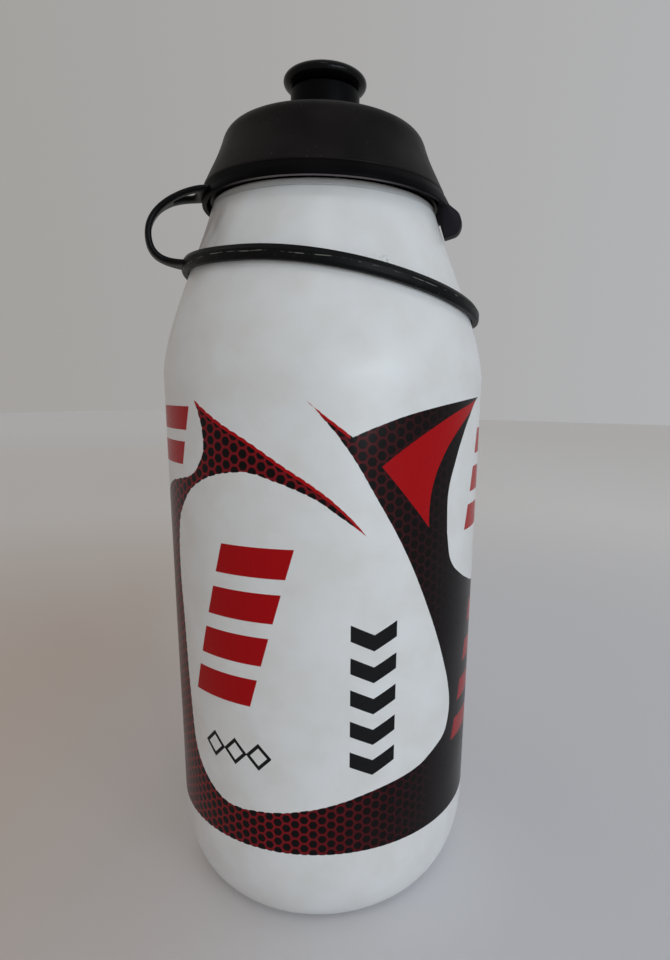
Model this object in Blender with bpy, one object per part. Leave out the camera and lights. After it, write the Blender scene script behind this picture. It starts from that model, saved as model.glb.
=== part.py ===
"""Cycling water bottle with a screw cap, a push-pull nozzle and a cap tether.

Metres, +Z up. The origin is the centre of the foot, on the bottle's axis.
Every size below is in millimetres and is turned into metres where meshes are made.
"""

import math

import bmesh
import bpy

MM = 0.001
WELD = 0.000002
SEGMENTS = 40

# Bottle: a blow-moulded shell, turned about Z.
BODY_R = 37.0
BODY_TAPER = 0.0077
CREASE_Z = 124.0
COLLAR_R = 25.3
COLLAR_Z = 158.9
COLLAR_TOP_Z = 160.5
FOOT_R = 25.5
FOOT_INNER_R = 21.0
FOOT_CORNER_H = 20.0
PUNT_Z = 3.2
WALL = 1.3
BORE_R = 20.2
NECK_TOP_Z = 168.4

# Screw thread, shared by the neck and the cap.
PITCH = 3.0
THREAD_TURNS = 1.5
THREAD_LOW_Z = 161.2
THREAD_HIGH_Z = 167.6
THREAD_FLANK = 0.5
THREAD_CREST = 0.6
THREAD_FADE = 0.09
NECK_ROOT_R = 21.7
NECK_CREST_R = 22.8
CAP_ROOT_R = 23.2
CAP_CREST_R = 22.1

# Cap: a skirt, a flared rim, a conical dome and the tube that the nozzle slides on.
SKIRT_R = 25.6
SKIRT_LOW_Z = 160.8
RIM_R = 27.0
RIM_Z = 163.0
DOME_FOOT = (26.2, 165.1)
DOME_CORNER = (21.4, 175.6)
DOME_CORNER_ROUND = 2.4
DOME_FLARE = 0.4
DOME_TOP = (9.0, 177.6)
ROOF_Z = 173.8
SEAT_Z = 170.3
SEAT_R = 21.9
WELL_R = 8.3
WELL_Z = 175.2
TUBE_R = 5.6
TUBE_BORE_R = 4.2
TUBE_TOP_Z = 183.4
TUBE_BEAD_R = 6.0

# Gasket between the neck's lip and the cap's seat.
GASKET_R = (19.6, 21.6)
GASKET_Z = (168.8, 170.0)

# Nozzle: a hard sleeve with a soft lip.
SLEEVE_R = 7.6
SLEEVE_BORE_R = 6.4
SLEEVE_BEAD_R = 5.9
SLEEVE_LOW_Z = 175.6
SLEEVE_SHOULDER_Z = 184.9
SPIGOT_R = 5.6
SPIGOT_TOP_Z = 186.2
OUTLET_R = 2.6
LIP_RING_R = 6.7
LIP_ROUND = 2.45
LIP_HALF_HEIGHT = 1.6
LIP_Z = 186.8
LIP_HOLE_R = 3.1

# Valve pin: a plug held in the cap's tube by three arms.
PIN_R = 1.4
PLUG_R = 2.3
PIN_LOW_Z = 174.2
PLUG_Z = (184.1, 185.9)
PIN_RING_R = (2.9, 3.9)
PIN_RING_Z = (174.2, 175.8)
ARM_WIDTH = 1.0

# Tether: a ring round the cap with a thumb tab, a strap, and a ring round the shoulder.
STRAP_AZIMUTH = math.radians(225)
TAB_AZIMUTH = math.radians(15)
GAP = 0.3
CAP_RING_IN_R = 26.1
CAP_RING_TOP_R = 27.1
CAP_RING_LOW_R = 28.3
CAP_RING_Z = (159.9, 162.7)
TAB_FULL = math.radians(3)
TAB_END = math.radians(9)
NECK_RING_Z = 142.2
NECK_RING_RISE = 4.2
NECK_RING_HIGH = math.radians(228)
NECK_RING_BOW = 1.1
NECK_RING_BOW_HIGH = math.radians(295)
NECK_RING_PULL = 1.6
NECK_RING_PULL_AT = math.radians(208)
NECK_RING_PULL_REACH = math.radians(60)
NECK_RING_HEIGHT = 2.9
NECK_RING_THICK = 1.5
NECK_RING_CLEAR = 0.4
STRAP_WIDTH = 6.0
STRAP_ROOT_WIDTH = 12.0
STRAP_THICK = 1.4
STRAP_STEPS = 18
STRAP_BELLY = (38.7, 152.4)
STRAP_ROOT_SETOUT = 0.35


def clear_scene():
    for obj in list(bpy.data.objects):
        bpy.data.objects.remove(obj, do_unlink=True)


def make_material(name, colour, roughness):
    made = bpy.data.materials.new(name)
    made.use_nodes = True
    shader = made.node_tree.nodes["Principled BSDF"]
    shader.inputs["Base Color"].default_value = (*colour, 1.0)
    shader.inputs["Roughness"].default_value = roughness
    shader.inputs["Metallic"].default_value = 0.0
    return made


def add_object(name, mesh_edit, material):
    """Welds and turns the faces outward, then links the mesh as one named object."""
    bmesh.ops.remove_doubles(mesh_edit, verts=mesh_edit.verts[:], dist=WELD)
    bmesh.ops.recalc_face_normals(mesh_edit, faces=mesh_edit.faces[:])
    mesh = bpy.data.meshes.new(name)
    mesh_edit.to_mesh(mesh)
    mesh_edit.free()
    mesh.materials.append(material)
    mesh.shade_smooth()
    mesh.set_sharp_from_angle(angle=math.radians(35))
    obj = bpy.data.objects.new(name, mesh)
    bpy.context.scene.collection.objects.link(obj)
    return obj


def bezier(start, handle_a, handle_b, end, steps):
    """Points of a cubic Bezier from just after its start up to its end."""
    points = []
    for i in range(1, steps + 1):
        t = i / steps
        weights = ((1 - t) ** 3, 3 * t * (1 - t) ** 2, 3 * t * t * (1 - t), t**3)
        controls = (start, handle_a, handle_b, end)
        points.append(tuple(sum(w * c[k] for w, c in zip(weights, controls)) for k in (0, 1)))
    return points


def arc(centre, radius_r, radius_z, first_deg, last_deg, steps):
    """Points of an elliptical arc in the (r, z) plane, both ends included."""
    points = []
    for i in range(steps + 1):
        angle = math.radians(first_deg + (last_deg - first_deg) * i / steps)
        points.append((centre[0] + radius_r * math.cos(angle), centre[1] + radius_z * math.sin(angle)))
    return points


def add_point(mesh_edit, radius, angle, height):
    return mesh_edit.verts.new((radius * MM * math.cos(angle), radius * MM * math.sin(angle), height * MM))


def bridge(mesh_edit, columns, close_section, close_round=True):
    """Quads between neighbouring columns of vertices, each column one section of the shape."""
    count = len(columns[0])
    rounds = len(columns) if close_round else len(columns) - 1
    for j in range(rounds):
        left, right = columns[j], columns[(j + 1) % len(columns)]
        for i in range(count if close_section else count - 1):
            k = (i + 1) % count
            mesh_edit.faces.new((left[i], left[k], right[k], right[i]))


def turn_profile(mesh_edit, profile, closed, segments=SEGMENTS):
    """Turns (r, z) points about Z. Points at r = 0 close up when the mesh is welded."""
    columns = []
    for j in range(segments):
        angle = 2 * math.pi * j / segments
        columns.append([add_point(mesh_edit, r, angle, z) for r, z in profile])
    bridge(mesh_edit, columns, closed)


def add_thread_wall(mesh_edit, root, crest, start_angle):
    """A cylinder wall from THREAD_LOW_Z to THREAD_HIGH_Z with one helical thread on it.

    Its columns stand on the same angles as turn_profile's, so the two weld edge to edge.
    """
    offsets = (0.0, THREAD_FLANK, THREAD_FLANK + THREAD_CREST, 2 * THREAD_FLANK + THREAD_CREST)
    heights = (0.0, 1.0, 1.0, 0.0)
    first_z = THREAD_LOW_Z + 0.1
    laps = math.ceil((THREAD_HIGH_Z - THREAD_LOW_Z) / PITCH) + 1
    columns = []
    for j in range(SEGMENTS + 1):
        turn = j / SEGMENTS
        angle = start_angle + 2 * math.pi * (j % SEGMENTS) / SEGMENTS
        column = [add_point(mesh_edit, root, angle, THREAD_LOW_Z)]
        for lap in range(-1, laps):
            along = lap + turn
            fade = min(along / THREAD_FADE, (THREAD_TURNS - along) / THREAD_FADE)
            fade = min(max(fade, 0.0), 1.0)
            for offset, height in zip(offsets, heights):
                z = first_z + along * PITCH + offset
                z = min(max(z, THREAD_LOW_Z), THREAD_HIGH_Z)
                radius = root + (crest - root) * height * fade
                column.append(add_point(mesh_edit, radius, angle, z))
        column.append(add_point(mesh_edit, root, angle, THREAD_HIGH_Z))
        columns.append(column)
    bridge(mesh_edit, columns, close_section=False, close_round=False)


def body_radius(z):
    """The outer radius of the straight wall, which tapers slightly towards the foot."""
    return BODY_R - BODY_TAPER * (CREASE_Z - z)


SHOULDER = (
    (BODY_R, CREASE_Z),
    (BODY_R - 1.3, CREASE_Z + 11.3),
    (BODY_R - 7.7, CREASE_Z + 22.7),
    (COLLAR_R, COLLAR_Z),
)


def shoulder_radius(z):
    """The shoulder's outer radius at a height between the crease and the collar."""
    low, high = 0.0, 1.0
    for _ in range(40):
        t = (low + high) / 2
        weights = ((1 - t) ** 3, 3 * t * (1 - t) ** 2, 3 * t * t * (1 - t), t**3)
        height = sum(w * c[1] for w, c in zip(weights, SHOULDER))
        low, high = (t, high) if height < z else (low, t)
    return sum(w * c[0] for w, c in zip(weights, SHOULDER))


def make_bottle(material):
    corner_r = body_radius(FOOT_CORNER_H) - FOOT_R
    outer = [(NECK_ROOT_R, THREAD_LOW_Z), (NECK_ROOT_R, COLLAR_TOP_Z), (COLLAR_R - 0.3, COLLAR_TOP_Z)]
    outer += [(COLLAR_R, COLLAR_TOP_Z - 0.3)]
    outer += list(reversed(bezier(*SHOULDER, steps=8)))
    outer += [SHOULDER[0]]
    outer += arc((FOOT_R, FOOT_CORNER_H), corner_r, FOOT_CORNER_H, 0, -90, 7)
    outer += [(FOOT_INNER_R, 0.0), (FOOT_INNER_R - 3.0, PUNT_Z - 0.6), (FOOT_INNER_R - 7.0, PUNT_Z), (0.0, PUNT_Z)]
    inner = [(0.0, PUNT_Z + WALL), (FOOT_INNER_R - 7.0, PUNT_Z + WALL), (FOOT_R - 1.0, WALL + 0.6)]
    inner += arc((FOOT_R, FOOT_CORNER_H), corner_r - WALL, FOOT_CORNER_H - WALL, -75, 0, 4)
    inner += [(BODY_R - WALL, CREASE_Z)]
    inner += [(r - WALL, z - 0.5) for r, z in bezier(*SHOULDER, steps=5)]
    inner += [(BORE_R, COLLAR_TOP_Z - WALL)]
    inner += [(BORE_R, NECK_TOP_Z - 0.3), (BORE_R + 0.3, NECK_TOP_Z)]
    lip = [(NECK_ROOT_R - 0.3, NECK_TOP_Z), (NECK_ROOT_R, NECK_TOP_Z - 0.3), (NECK_ROOT_R, THREAD_HIGH_Z)]
    edit = bmesh.new()
    turn_profile(edit, outer + inner + lip, closed=False)
    add_thread_wall(edit, NECK_ROOT_R, NECK_CREST_R, start_angle=0.0)
    return add_object("bottle_body", edit, material)


def make_cap(material):
    """The thread starts half a turn round from the neck's, which sets it in the neck's groove."""
    rounding = arc(
        (DOME_CORNER[0] - DOME_CORNER_ROUND, DOME_CORNER[1] - DOME_CORNER_ROUND),
        DOME_CORNER_ROUND,
        DOME_CORNER_ROUND,
        28,
        80,
        3,
    )
    profile = [(CAP_ROOT_R, THREAD_LOW_Z), (CAP_ROOT_R + 0.3, SKIRT_LOW_Z), (SKIRT_R, SKIRT_LOW_Z)]
    profile += [(SKIRT_R, RIM_Z), (RIM_R, RIM_Z), (RIM_R - 0.1, RIM_Z + 0.6), DOME_FOOT]
    flank_middle = ((DOME_FOOT[0] + rounding[0][0]) / 2 - DOME_FLARE, (DOME_FOOT[1] + rounding[0][1]) / 2)
    profile += [flank_middle] + rounding
    profile += [(DOME_TOP[0] + 4.0, DOME_TOP[1] - 0.6), DOME_TOP]
    profile += [(WELL_R, DOME_TOP[1] - 0.5), (WELL_R, WELL_Z), (TUBE_R, WELL_Z)]
    profile += [(TUBE_R, TUBE_TOP_Z - 1.2), (TUBE_BEAD_R, TUBE_TOP_Z - 0.9), (TUBE_BEAD_R, TUBE_TOP_Z - 0.4)]
    profile += [(TUBE_R - 0.2, TUBE_TOP_Z), (TUBE_BORE_R, TUBE_TOP_Z), (TUBE_BORE_R, ROOF_Z)]
    profile += [(GASKET_R[0] - 1.0, ROOF_Z), (GASKET_R[0] - 0.4, SEAT_Z), (SEAT_R, SEAT_Z)]
    profile += [(SEAT_R, NECK_TOP_Z + 0.8), (CAP_ROOT_R, THREAD_HIGH_Z)]
    edit = bmesh.new()
    turn_profile(edit, profile, closed=False)
    add_thread_wall(edit, CAP_ROOT_R, CAP_CREST_R, start_angle=math.pi)
    return add_object("screw_cap", edit, material)


def make_gasket(material):
    low, high = GASKET_Z
    inner, outer = GASKET_R
    edit = bmesh.new()
    turn_profile(edit, [(inner, low), (outer, low), (outer, high), (inner, high)], closed=True)
    return add_object("cap_gasket", edit, material)


def make_valve_pin(material):
    """A pin with a plug on top, joined by three arms to the ring that sits in the cap's tube."""
    pin = [(0.0, PIN_LOW_Z), (PIN_R, PIN_LOW_Z), (PIN_R, PLUG_Z[0] - 1.0), (PLUG_R, PLUG_Z[0])]
    pin += [(PLUG_R, PLUG_Z[1] - 0.4), (PLUG_R - 0.4, PLUG_Z[1]), (0.0, PLUG_Z[1])]
    edit = bmesh.new()
    turn_profile(edit, pin, closed=False, segments=24)
    body = add_object("valve_pin", edit, material)
    inner, outer = PIN_RING_R
    low, high = PIN_RING_Z
    edit = bmesh.new()
    turn_profile(edit, [(inner, low), (outer, low), (outer, high), (inner, high)], closed=True, segments=24)
    helpers = [add_object("pin_ring_guide", edit, material)]
    for i in range(3):
        edit = bmesh.new()
        bmesh.ops.create_cube(edit, size=1.0)
        reach = (inner + outer) / 2
        for vertex in edit.verts:
            vertex.co.x = (vertex.co.x + 0.5) * reach * MM
            vertex.co.y = vertex.co.y * ARM_WIDTH * MM
            vertex.co.z = ((low + high) / 2 + vertex.co.z * (high - low) * 0.7) * MM
        helper = add_object("pin_arm_guide_%d" % i, edit, material)
        helper.rotation_euler.z = 2 * math.pi * i / 3
        helpers.append(helper)
    for helper in helpers:
        helper.hide_render = True
        helper.display_type = "WIRE"
        union = body.modifiers.new("join_" + helper.name, "BOOLEAN")
        union.operation = "UNION"
        union.object = helper
    return body


def make_nozzle_sleeve(material):
    profile = [(SLEEVE_R, SLEEVE_LOW_Z), (SLEEVE_R, SLEEVE_SHOULDER_Z), (SPIGOT_R, SLEEVE_SHOULDER_Z)]
    profile += [(SPIGOT_R, SPIGOT_TOP_Z), (OUTLET_R, SPIGOT_TOP_Z), (OUTLET_R, TUBE_TOP_Z + 0.6)]
    profile += [(SLEEVE_BORE_R, TUBE_TOP_Z + 0.6), (SLEEVE_BORE_R, SLEEVE_LOW_Z + 1.0)]
    profile += [(SLEEVE_BEAD_R, SLEEVE_LOW_Z + 0.6), (SLEEVE_BEAD_R, SLEEVE_LOW_Z)]
    edit = bmesh.new()
    turn_profile(edit, profile, closed=True, segments=32)
    return add_object("nozzle_sleeve", edit, material)


def make_mouthpiece(material):
    """A soft ring with a round lip, open in the middle and dished down to its hole."""
    seat_r = SPIGOT_R + GAP
    seat_z = SPIGOT_TOP_Z + GAP
    profile = arc((LIP_RING_R, LIP_Z), LIP_ROUND, LIP_HALF_HEIGHT, -90, 110, 10)
    profile += [(LIP_RING_R - 2.4, LIP_Z + 1.0), (LIP_HOLE_R, LIP_Z + 0.5), (LIP_HOLE_R, seat_z)]
    profile += [(seat_r, seat_z), (seat_r, LIP_Z - LIP_HALF_HEIGHT)]
    edit = bmesh.new()
    turn_profile(edit, profile, closed=True, segments=32)
    return add_object("mouthpiece", edit, material)


def smooth_step(value):
    value = min(max(value, 0.0), 1.0)
    return value * value * (3 - 2 * value)


def cap_ring_section(angle):
    """The ring's section at one angle, blended into the thumb tab's section near TAB_AZIMUTH."""
    low, high = CAP_RING_Z
    plain = [
        (CAP_RING_IN_R, high),
        (CAP_RING_TOP_R, high),
        (CAP_RING_LOW_R - 0.2, low + 1.2),
        (CAP_RING_LOW_R, low + 0.7),
        (CAP_RING_LOW_R, low + 0.4),
        (CAP_RING_LOW_R, low + 0.2),
        (CAP_RING_LOW_R - 0.3, low),
        (CAP_RING_LOW_R - 1.1, low),
        (CAP_RING_IN_R, low + 1.6),
    ]
    tab = [
        (CAP_RING_IN_R, high),
        (CAP_RING_TOP_R, high),
        (CAP_RING_LOW_R + 0.3, low + 0.6),
        (CAP_RING_LOW_R + 0.6, low + 0.2),
        (CAP_RING_LOW_R + 2.2, low - 0.7),
        (CAP_RING_LOW_R + 2.9, low - 2.8),
        (CAP_RING_LOW_R + 2.0, low - 4.9),
        (CAP_RING_LOW_R - 0.8, low - 6.0),
        (CAP_RING_IN_R - 0.1, low - 1.7),
    ]
    away = abs((angle - TAB_AZIMUTH + math.pi) % (2 * math.pi) - math.pi)
    share = smooth_step((TAB_END - away) / (TAB_END - TAB_FULL))
    return [tuple(p + (q - p) * share for p, q in zip(a, b)) for a, b in zip(plain, tab)]


def make_cap_ring(material):
    """Even steps all round, with finer ones across the thumb tab."""
    angles = [2 * math.pi * j / SEGMENTS for j in range(SEGMENTS)]
    angles = [a for a in angles if abs((a - TAB_AZIMUTH + math.pi) % (2 * math.pi) - math.pi) > TAB_END]
    angles += [TAB_AZIMUTH + TAB_END * step / 6 for step in range(-6, 7)]
    edit = bmesh.new()
    columns = []
    for angle in sorted(a % (2 * math.pi) for a in angles):
        columns.append([add_point(edit, r, angle, z) for r, z in cap_ring_section(angle)])
    bridge(edit, columns, close_section=True)
    return add_object("tether_cap_ring", edit, material)


def neck_ring_middle(angle):
    """The ring hangs tilted and a little bowed, and the strap pulls it up beside where it joins."""
    tilt = NECK_RING_RISE * math.cos(angle - NECK_RING_HIGH)
    bow = NECK_RING_BOW * math.cos(2 * (angle - NECK_RING_BOW_HIGH))
    away = abs((angle - NECK_RING_PULL_AT + math.pi) % (2 * math.pi) - math.pi)
    return NECK_RING_Z + tilt + bow + NECK_RING_PULL * smooth_step(1 - away / NECK_RING_PULL_REACH)


def neck_ring_inner(angle):
    """The ring lies on the shoulder, so it is wider where it hangs lower."""
    low = neck_ring_middle(angle) - NECK_RING_HEIGHT / 2
    return shoulder_radius(low) + NECK_RING_CLEAR


def make_neck_ring(material):
    bevel = 0.5
    edit = bmesh.new()
    columns = []
    for j in range(SEGMENTS):
        angle = 2 * math.pi * j / SEGMENTS
        low = neck_ring_middle(angle) - NECK_RING_HEIGHT / 2
        high = low + NECK_RING_HEIGHT
        inner = neck_ring_inner(angle)
        outer = inner + NECK_RING_THICK
        section = [(inner, low), (outer - bevel, low), (outer, low + bevel), (outer, high - 2 * bevel)]
        section += [(outer - bevel, high), (inner + 0.2, high), (inner, high - bevel)]
        columns.append([add_point(edit, r, angle, z) for r, z in section])
    bridge(edit, columns, close_section=True)
    return add_object("tether_neck_ring", edit, material)


def strap_line():
    """The strap's centre line in (r, z), from the cap ring out, down and back to the neck ring."""
    start = (CAP_RING_LOW_R + GAP, CAP_RING_Z[0] + 1.5)
    low_r = neck_ring_inner(STRAP_AZIMUTH) + NECK_RING_THICK + GAP
    end = (low_r, neck_ring_middle(STRAP_AZIMUTH) - 0.2)
    belly = STRAP_BELLY
    points = [start]
    points += bezier(start, (32.6, start[1] - 0.5), (belly[0] + 0.1, 157.0), belly, STRAP_STEPS // 2)
    points += bezier(belly, (belly[0] - 0.1, 148.2), (36.4, end[1] + 0.1), end, STRAP_STEPS // 2)
    return points


def make_strap(material):
    """A flat band with its width across the plane of the loop, wider at the cap ring."""
    line = strap_line()
    across = (-math.sin(STRAP_AZIMUTH), math.cos(STRAP_AZIMUTH))
    edit = bmesh.new()
    columns = []
    for i, (r, z) in enumerate(line):
        before, after = line[max(i - 1, 0)], line[min(i + 1, len(line) - 1)]
        along = (after[0] - before[0], after[1] - before[1])
        length = math.hypot(*along)
        if i == 0 or i == len(line) - 1:
            along, length = ((1.0, 0.0), 1.0) if i == 0 else ((-1.0, 0.0), 1.0)
        normal = (-along[1] / length, along[0] / length)
        share = smooth_step(1 - i / (STRAP_STEPS * 0.3))
        half = (STRAP_WIDTH + (STRAP_ROOT_WIDTH - STRAP_WIDTH) * share) / 2
        if i == 0:
            r += STRAP_ROOT_SETOUT
        column = []
        for side, face in ((-1, -1), (1, -1), (1, 1), (-1, 1)):
            reach = r + normal[0] * face * STRAP_THICK / 2
            x = reach * math.cos(STRAP_AZIMUTH) + across[0] * side * half
            y = reach * math.sin(STRAP_AZIMUTH) + across[1] * side * half
            height = z + normal[1] * face * STRAP_THICK / 2
            column.append(edit.verts.new((x * MM, y * MM, height * MM)))
        columns.append(column)
    bridge(edit, columns, close_section=True, close_round=False)
    edit.faces.new(columns[0])
    edit.faces.new(list(reversed(columns[-1])))
    return add_object("tether_strap", edit, material)


clear_scene()
white = make_material("white_plastic", (0.72, 0.73, 0.74), 0.35)
cap_black = make_material("cap_plastic", (0.018, 0.016, 0.016), 0.5)
nozzle_black = make_material("nozzle_plastic", (0.012, 0.012, 0.013), 0.35)
lip_black = make_material("lip_rubber", (0.01, 0.01, 0.011), 0.18)
tether_black = make_material("tether_rubber", (0.012, 0.012, 0.013), 0.4)
gasket_grey = make_material("gasket_rubber", (0.35, 0.35, 0.35), 0.6)

make_bottle(white)
make_cap(cap_black)
make_gasket(gasket_grey)
make_valve_pin(cap_black)
make_nozzle_sleeve(nozzle_black)
make_mouthpiece(lip_black)
make_cap_ring(tether_black)
make_neck_ring(tether_black)
make_strap(tether_black)
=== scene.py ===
import math

import bmesh
import bpy
from mathutils import Matrix, Vector, noise


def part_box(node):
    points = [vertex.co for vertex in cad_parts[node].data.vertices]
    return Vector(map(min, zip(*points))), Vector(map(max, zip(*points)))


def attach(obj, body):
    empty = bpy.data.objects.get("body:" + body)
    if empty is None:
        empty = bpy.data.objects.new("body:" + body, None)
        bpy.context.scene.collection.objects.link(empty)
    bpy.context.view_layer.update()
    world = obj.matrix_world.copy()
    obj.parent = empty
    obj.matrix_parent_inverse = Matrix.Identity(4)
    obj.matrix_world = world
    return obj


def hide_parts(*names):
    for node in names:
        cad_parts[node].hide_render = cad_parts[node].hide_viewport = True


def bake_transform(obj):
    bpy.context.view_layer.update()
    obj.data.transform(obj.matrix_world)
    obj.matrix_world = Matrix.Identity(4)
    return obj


# The looks of a cycling water bottle: a printed white squeeze bottle with a domed screw cap, a
# push-pull nozzle and a looped cap tether. Sizes are in millimetres and angles in degrees unless
# said otherwise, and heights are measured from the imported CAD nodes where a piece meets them.

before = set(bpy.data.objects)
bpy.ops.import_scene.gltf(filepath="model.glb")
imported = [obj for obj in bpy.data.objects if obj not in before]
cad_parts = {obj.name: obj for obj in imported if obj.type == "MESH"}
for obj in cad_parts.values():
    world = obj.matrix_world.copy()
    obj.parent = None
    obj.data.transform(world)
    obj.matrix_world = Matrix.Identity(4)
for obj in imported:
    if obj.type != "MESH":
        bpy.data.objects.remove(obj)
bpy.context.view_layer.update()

MM = 0.001
SEGMENTS = 208
MERGE_M = 0.000002

# Azimuths. The print faces FRONT, and its angles are counted from there, positive to the right.
FRONT = -65.0
STRAP_AZIMUTH = 225.0
TAB_AZIMUTH = 15.0


def low_z(node):
    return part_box(node)[0].z / MM


def high_z(node):
    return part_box(node)[1].z / MM


# Bottle.
BODY_R = 37.0
BODY_TAPER = 0.0077
CREASE_Z = 124.0
COLLAR_R = 25.3
COLLAR_Z = 158.9
COLLAR_TOP_Z = 160.5
FOOT_R = 25.5
FOOT_INNER_R = 21.0
FOOT_CORNER_H = 20.0
PUNT_Z = 3.2
WALL = 1.3
BORE_R = 20.2
NECK_ROOT_R = 21.7
NECK_CREST_R = 22.8
NECK_TOP_Z = high_z("bottle_body")
# The marks that blow moulding leaves: the foot's weld, and the waves of the wall.
WELD_REACH = 15.0
WELD_DEPTH = 0.45
WAVE_LOW_Z = 24.0
WAVE_DEPTH = 0.05
WAVE_SCALE = 38.0
SHOULDER = (
    (BODY_R, CREASE_Z),
    (BODY_R - 1.3, CREASE_Z + 11.3),
    (BODY_R - 7.7, CREASE_Z + 22.7),
    (COLLAR_R, COLLAR_Z),
)

# Screw thread.
PITCH = 3.0
THREAD_TURNS = 1.5
THREAD_LOW_Z = 161.2
THREAD_HIGH_Z = 167.6
THREAD_FADE = 0.09

# Cap.
CAP_ROOT_R = 23.2
CAP_CREST_R = 22.1
SKIRT_R = 25.6
SKIRT_LOW_Z = low_z("screw_cap")
RIM_R = 27.0
RIM_Z = 163.0
TUBE_TOP_Z = high_z("screw_cap")

# Nozzle.
SLEEVE_R = 7.6
SLEEVE_LOW_Z = low_z("nozzle_sleeve")
SPIGOT_TOP_Z = high_z("nozzle_sleeve")
LIP_LOW_Z = low_z("mouthpiece")
LIP_HIGH_Z = high_z("mouthpiece")

# Tether. The ring on the cap: its thumb tab is whole within TAB_FULL degrees and gone at TAB_END.
CAP_RING_IN_R = 26.1
CAP_RING_TOP_R = 27.1
CAP_RING_LOW_R = 28.3
CAP_RING_Z = (159.9, 162.92)
CAP_RING_SLIM = 1.0
CAP_RING_SLIM_REACH = 70.0
TAB_FULL = 3.0
TAB_END = 8.0
TAB_STEPS = 18
# The ring on the shoulder. It tilts and bows about its middle height, highest at these azimuths.
NECK_RING_Z = 142.2
NECK_RING_RISE = 4.2
NECK_RING_HIGH = 228.0
NECK_RING_BOW = 1.1
NECK_RING_BOW_HIGH = 295.0
NECK_RING_PULL = 1.6
NECK_RING_PULL_AT = 208.0
NECK_RING_PULL_REACH = 60.0
NECK_RING_HEIGHT = 2.9
NECK_RING_THICK = 1.5
NECK_RING_CLEAR = 0.25
# The strap.
STRAP_THICK = 1.35
STRAP_WIDTH = 4.4
STRAP_ROOT_WIDTH = 13.0
STRAP_FOOT_WIDTH = 10.0
STRAP_STEPS = 36
STRAP_BELLY = (38.8, 152.2)
STRAP_WINDOW = range(2, 7)
# An upright line at this radius, short of the strap's CAD ends by this length at either end.
STRAP_BLEND_R = 36.0
STRAP_HELD = 1.8


# ---------------------------------------------------------------- outlines

def bezier(start, handle_a, handle_b, end, steps):
    """Points of a cubic Bezier, both ends included."""
    points = []
    for i in range(steps + 1):
        t = i / steps
        weights = ((1 - t) ** 3, 3 * t * (1 - t) ** 2, 3 * t * t * (1 - t), t**3)
        controls = (start, handle_a, handle_b, end)
        points.append(tuple(sum(w * c[k] for w, c in zip(weights, controls)) for k in (0, 1)))
    return points


def arc(centre, radius_r, radius_z, first, last, steps):
    """Points of an elliptical arc in the (r, z) plane, both ends included."""
    points = []
    for i in range(steps + 1):
        angle = math.radians(first + (last - first) * i / steps)
        points.append((centre[0] + radius_r * math.cos(angle), centre[1] + radius_z * math.sin(angle)))
    return points


def rounded(corners, closed=True, steps=4):
    """Points of an outline of (r, z, cut) corners, each rounded over that length on both sides."""
    points = []
    last = len(corners) - 1
    for i, (r, z, cut) in enumerate(corners):
        corner = Vector((r, z))
        if cut == 0 or (not closed and i in (0, last)):
            points.append((r, z))
            continue
        before = Vector(corners[i - 1][:2]) - corner
        after = Vector(corners[(i + 1) % len(corners)][:2]) - corner
        start = corner + before.normalized() * min(cut, before.length * 0.49)
        end = corner + after.normalized() * min(cut, after.length * 0.49)
        for k in range(steps + 1):
            t = k / steps
            points.append(tuple(start * (1 - t) ** 2 + corner * 2 * t * (1 - t) + end * t * t))
    return points


def smooth_step(value):
    """0 below 0 and 1 above 1, with a smooth rise between."""
    value = min(max(value, 0.0), 1.0)
    return value * value * (3 - 2 * value)


def turn_between(angle, other):
    """The signed angle from other to angle, in degrees, from -180 to 180."""
    return (angle - other + 180.0) % 360.0 - 180.0


# ---------------------------------------------------------------- meshes

def ring_point(radius, angle, height):
    turn = math.radians(angle)
    return Vector((radius * math.cos(turn), radius * math.sin(turn), height))


def bridge(edit, columns, close_section, close_round=True):
    """Fills in the faces between neighbouring columns of points."""
    count = len(columns[0])
    for j in range(len(columns) if close_round else len(columns) - 1):
        left, right = columns[j], columns[(j + 1) % len(columns)]
        for i in range(count if close_section else count - 1):
            k = (i + 1) % count
            edit.faces.new((left[i], left[k], right[k], right[i]))


def add_piece(name, edit, material, sharp=40.0):
    """Welds a mesh, turns its faces outward and links it as one smooth-shaded piece."""
    bmesh.ops.remove_doubles(edit, verts=edit.verts[:], dist=MERGE_M)
    bmesh.ops.recalc_face_normals(edit, faces=edit.faces[:])
    mesh = bpy.data.meshes.new(name)
    edit.to_mesh(mesh)
    edit.free()
    mesh.materials.append(material)
    mesh.shade_smooth()
    mesh.set_sharp_from_angle(angle=math.radians(sharp))
    piece = bpy.data.objects.new(name, mesh)
    bpy.context.scene.collection.objects.link(piece)
    return piece


def sweep(edit, section_at, angles, closed):
    """Joins the (r, z) sections that section_at gives at each angle, all the way round."""
    columns = []
    for angle in angles:
        column = [edit.verts.new(ring_point(r, angle, z) * MM) for r, z in section_at(angle)]
        columns.append(column)
    bridge(edit, columns, closed)


def turned(name, profile, material, segments=SEGMENTS):
    """A solid of revolution from one closed outline."""
    edit = bmesh.new()
    sweep(edit, lambda angle: profile, even_angles(segments), closed=True)
    return add_piece(name, edit, material)


def even_angles(count):
    return [360.0 * j / count for j in range(count)]


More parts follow.
